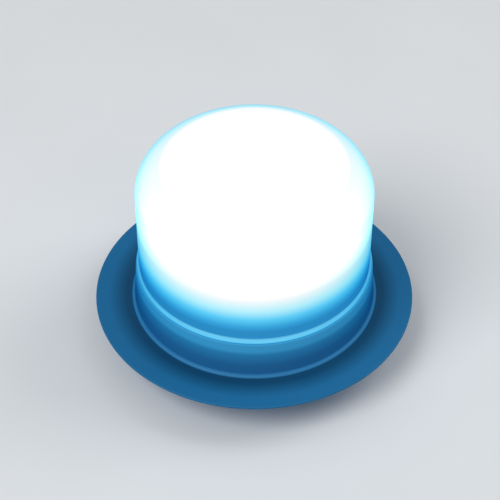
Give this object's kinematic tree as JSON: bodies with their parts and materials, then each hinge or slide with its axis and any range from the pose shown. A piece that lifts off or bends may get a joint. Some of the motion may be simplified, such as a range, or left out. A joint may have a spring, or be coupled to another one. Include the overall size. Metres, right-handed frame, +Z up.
{
  "type": "led road flare lamp",
  "caption": "Battery LED flare lamp: frosted cylindrical cap that pulls off a stepped collar with a broad flat flange, push button underneath and a covered charging port.",
  "frame": {"origin": "on the surface that the lamp stands on, under the lamp's axis", "axes": "+Z up along the lamp's axis, +Y towards the charging port, +X along the cells"},
  "size_m": [0.12, 0.12, 0.0762],
  "materials": {
    "frosted_plastic": "frosted white diffuser, lit cyan-white from inside",
    "clear_silicone": "translucent silicone ring that carries the light",
    "milky_plastic": "milky moulded plastic, seen blue in the lamp's own light",
    "black_rubber": "matte moulded rubber",
    "grey_rubber": "soft moulded rubber",
    "zinc_steel": "zinc plated",
    "nickel_strip": "rolled nickel strip",
    "green_board": "green solder mask over glass-fibre board",
    "white_board": "white solder mask over an aluminium board",
    "black_plastic": "moulded black plastic",
    "white_plastic": "moulded white plastic",
    "cell_wrap": "shrink film over a metal can",
    "aluminium_can": "drawn can",
    "light_emitter": "phosphor window in a white frame",
    "clear_plastic": "polished clear plastic",
    "red_wire": "insulated wire",
    "black_wire": "insulated wire"
  },
  "bodies": {
    "base": {"base_shell": "milky_plastic", "bottom_cover": "milky_plastic", "bottom_seal": "black_rubber", "cap_seal": "clear_silicone", "foot_pad_1": "black_rubber", "foot_pad_2": "black_rubber", "foot_pad_3": "black_rubber", "foot_pad_4": "black_rubber", "cover_screw_1": "zinc_steel", "cover_screw_2": "zinc_steel", "cover_screw_3": "zinc_steel", "cover_screw_4": "zinc_steel", "led_screw_1": "zinc_steel", "led_screw_2": "zinc_steel", "led_screw_3": "zinc_steel", "led_screw_4": "zinc_steel", "port_hinge_pin": "zinc_steel", "charge_socket": "zinc_steel", "socket_tongue": "black_plastic", "control_board": "green_board", "control_chip": "black_plastic", "charge_coil": "black_plastic", "filter_capacitor": "aluminium_can", "power_switch": "black_plastic", "status_led": "light_emitter", "status_light_pipe": "clear_plastic", "cell_holder": "white_plastic", "battery_cell_front": "cell_wrap", "battery_cell_rear": "cell_wrap", "cell_link_plus": "nickel_strip", "cell_link_minus": "nickel_strip", "led_carrier": "white_plastic", "led_board": "white_board", "battery_lead_plus": "red_wire", "battery_lead_minus": "black_wire", "led_lead_plus": "red_wire", "led_lead_minus": "black_wire", "led_01": "light_emitter", "led_02": "light_emitter", "led_03": "light_emitter", "led_04": "light_emitter", "led_05": "light_emitter", "led_06": "light_emitter", "led_07": "light_emitter", "led_08": "light_emitter", "led_09": "light_emitter", "led_10": "light_emitter", "led_11": "light_emitter", "led_12": "light_emitter"},
    "cap": {"diffuser_cap": "frosted_plastic"},
    "button": {"power_button": "grey_rubber", "switch_plunger": "white_plastic"},
    "port_flap": {"port_cover": "milky_plastic", "port_plug": "black_rubber"}
  },
  "joints": [
    {"name": "cap_lift", "type": "slide", "parent": "base", "child": "cap", "axis": [0, 0, 1], "range_m": [0, 0.06]},
    {"name": "button_press", "type": "slide", "parent": "base", "child": "button", "axis": [0, 0, 1], "range_m": [0, 0.001], "stiffness_N_per_m": 1200},
    {"name": "port_cover_swing", "type": "hinge", "parent": "base", "child": "port_flap", "pos_m": [-0.00925, 0.04455, 0.00945], "axis": [0, 0, 1], "range_deg": [0, 110]}
  ]
}
